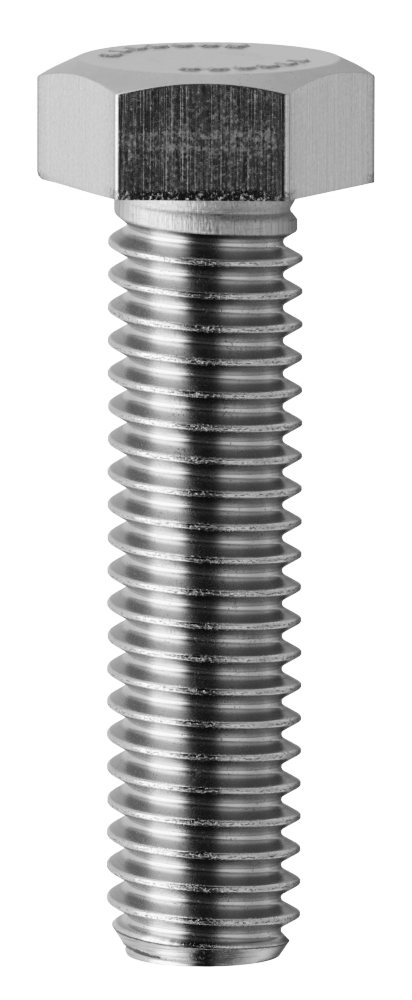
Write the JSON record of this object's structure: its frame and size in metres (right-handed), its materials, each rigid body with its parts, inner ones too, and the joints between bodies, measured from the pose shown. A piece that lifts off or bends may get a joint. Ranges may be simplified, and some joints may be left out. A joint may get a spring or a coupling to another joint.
{
  "type": "hex bolt",
  "caption": "Fully threaded hex bolt: a chamfered hexagonal head, a short plain neck, a rolled coarse thread and a chamfered point.",
  "frame": {"origin": "centre of the flat end face at the point, on the bolt's axis; the bolt stands on this face", "axes": "+Z along the axis from the point to the head; two of the head's flats face -Y and +Y and two of its corners lie on the X axis"},
  "size_m": [0.0162, 0.014, 0.0435],
  "materials": {
    "bright_steel": "bright drawn and rolled steel: sheared vertical streaks on the head's sides, smooth burnished thread flanks, crests with a fine rolled seam"
  },
  "bodies": {
    "root": {"hex_bolt": "bright_steel"}
  },
  "joints": []
}
